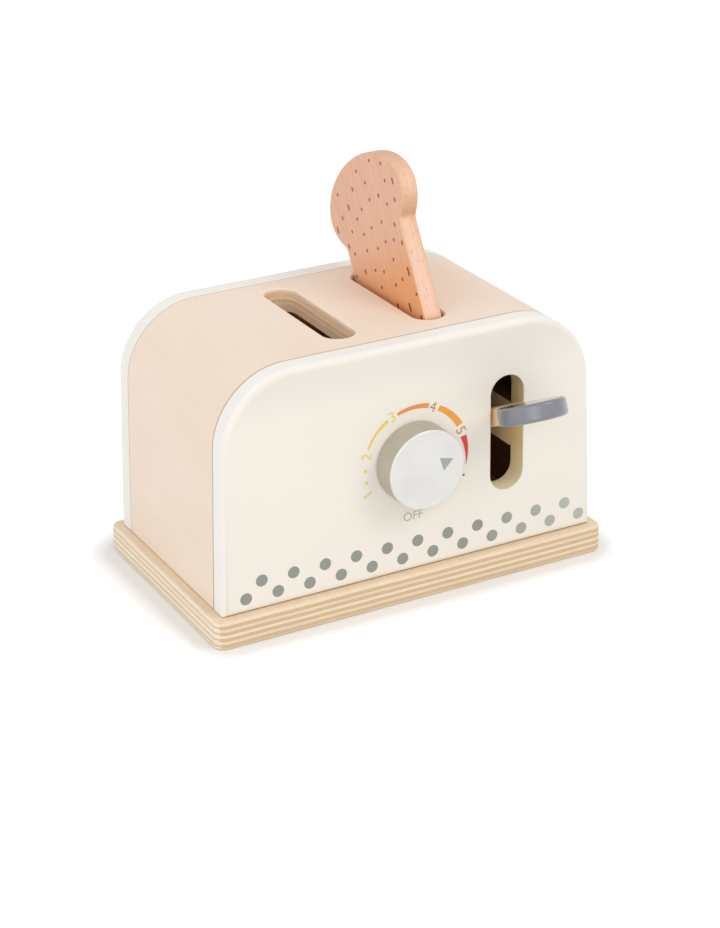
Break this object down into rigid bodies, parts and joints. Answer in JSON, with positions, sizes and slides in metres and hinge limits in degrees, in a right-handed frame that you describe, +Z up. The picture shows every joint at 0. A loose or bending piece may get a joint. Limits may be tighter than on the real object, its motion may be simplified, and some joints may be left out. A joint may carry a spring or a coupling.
{
  "type": "toy toaster",
  "caption": "Wooden play toaster with a bent plywood hood, painted end panels, a turning dial and a side lever that lowers a slice of play toast into its slot.",
  "frame": {"origin": "middle of the base board's underside, on the surface the toaster stands on", "axes": "+Z up, +X to the right as seen from the front, the front panel with the dial faces -Y"},
  "size_m": [0.1994, 0.1517, 0.1881],
  "materials": {
    "birch_ply": "clear matt lacquer over birch plywood, plies showing on the edges",
    "hood_ply": "clear matt lacquer over bent birch plywood",
    "cream_paint": "satin cream paint on plywood",
    "beech": "bare sanded beech",
    "toast_beech": "clear matt lacquer over flecked beech",
    "silver_paint": "satin silver paint on turned wood",
    "grey_paint": "satin blue grey paint on turned wood",
    "steel": "zinc plated steel",
    "felt": "pressed wool felt"
  },
  "bodies": {
    "housing": {"base_board": "birch_ply", "front_panel": "cream_paint", "back_panel": "cream_paint", "shell": "hood_ply", "base_screws": "steel", "guide_rod_left": "beech", "guide_rod_right": "beech", "stop_collar_left": "beech", "stop_collar_right": "beech", "spring_seat": "steel", "lift_spring": "steel", "knob_washer": "felt"},
    "lift": {"lift_platform": "birch_ply", "lift_board": "birch_ply", "lever_arm": "beech", "lever_paddle": "grey_paint", "lever_dowels": "beech", "platform_dowels": "beech"},
    "knob": {"control_knob": "silver_paint", "knob_axle": "beech", "knob_collar": "beech"},
    "slice": {"toast_slice": "toast_beech"}
  },
  "joints": [
    {"name": "lift_slide", "type": "slide", "parent": "housing", "child": "lift", "axis": [0, 0, 1], "range_m": [-0.024, 0], "stiffness_N_per_m": 120, "springref_m": 0.025, "deforming": ["lift_spring"]},
    {"name": "knob_turn", "type": "hinge", "parent": "housing", "child": "knob", "pos_m": [0, -0.0559, 0.068], "axis": [0, -1, 0], "continuous": true},
    {"name": "slice_rock", "type": "hinge", "parent": "housing", "child": "slice", "pos_m": [0.0236, 0.048, 0.118], "axis": [1, 0, 0], "range_deg": [0, 25]}
  ],
  "couplings": [
    {"joint": "slice_rock", "follows": "lift_slide", "rad_per_m": -18.18}
  ]
}
